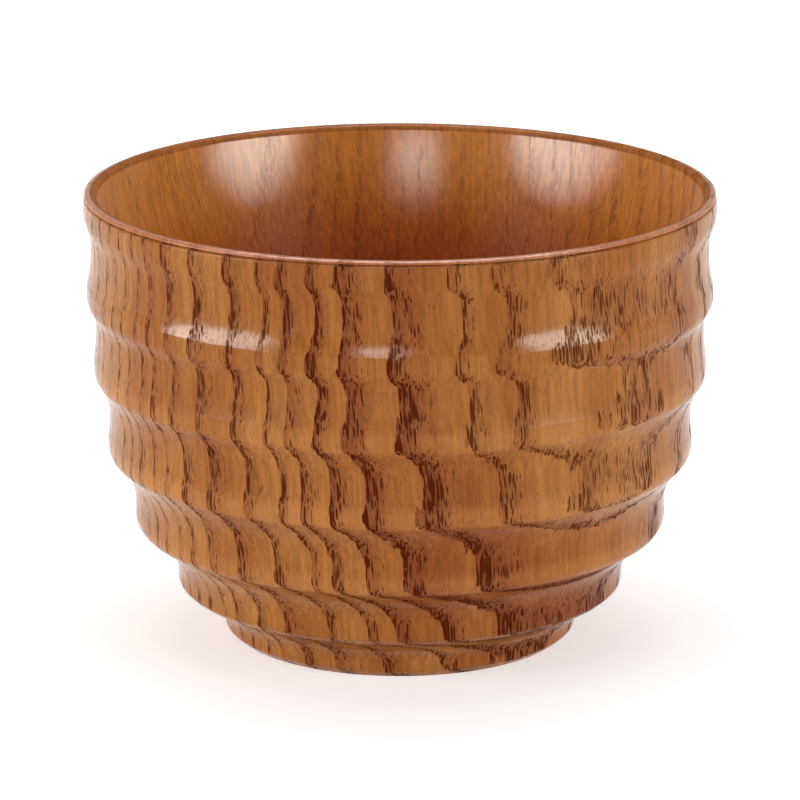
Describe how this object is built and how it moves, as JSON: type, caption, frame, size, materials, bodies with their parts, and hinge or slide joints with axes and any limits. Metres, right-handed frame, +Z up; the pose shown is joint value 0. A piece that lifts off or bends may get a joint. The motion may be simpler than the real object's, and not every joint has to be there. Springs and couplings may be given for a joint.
{
  "type": "wooden cup",
  "caption": "Small round drinking cup turned from open-grained wood, with soft beaded rings stepping in to a narrow foot and a glossy lacquered bowl.",
  "frame": {"origin": "centre of the plane the foot rests on", "axes": "+Z up along the turning axis; the picture looks along +Y, with +X to its right"},
  "size_m": [0.0898, 0.09, 0.065],
  "materials": {
    "wood": "clear lacquered, open pored, satin gloss",
    "lacquer": "clear gloss over brown wood"
  },
  "bodies": {
    "root": {"cup_body": "wood", "bowl_lacquer": "lacquer"}
  },
  "joints": []
}
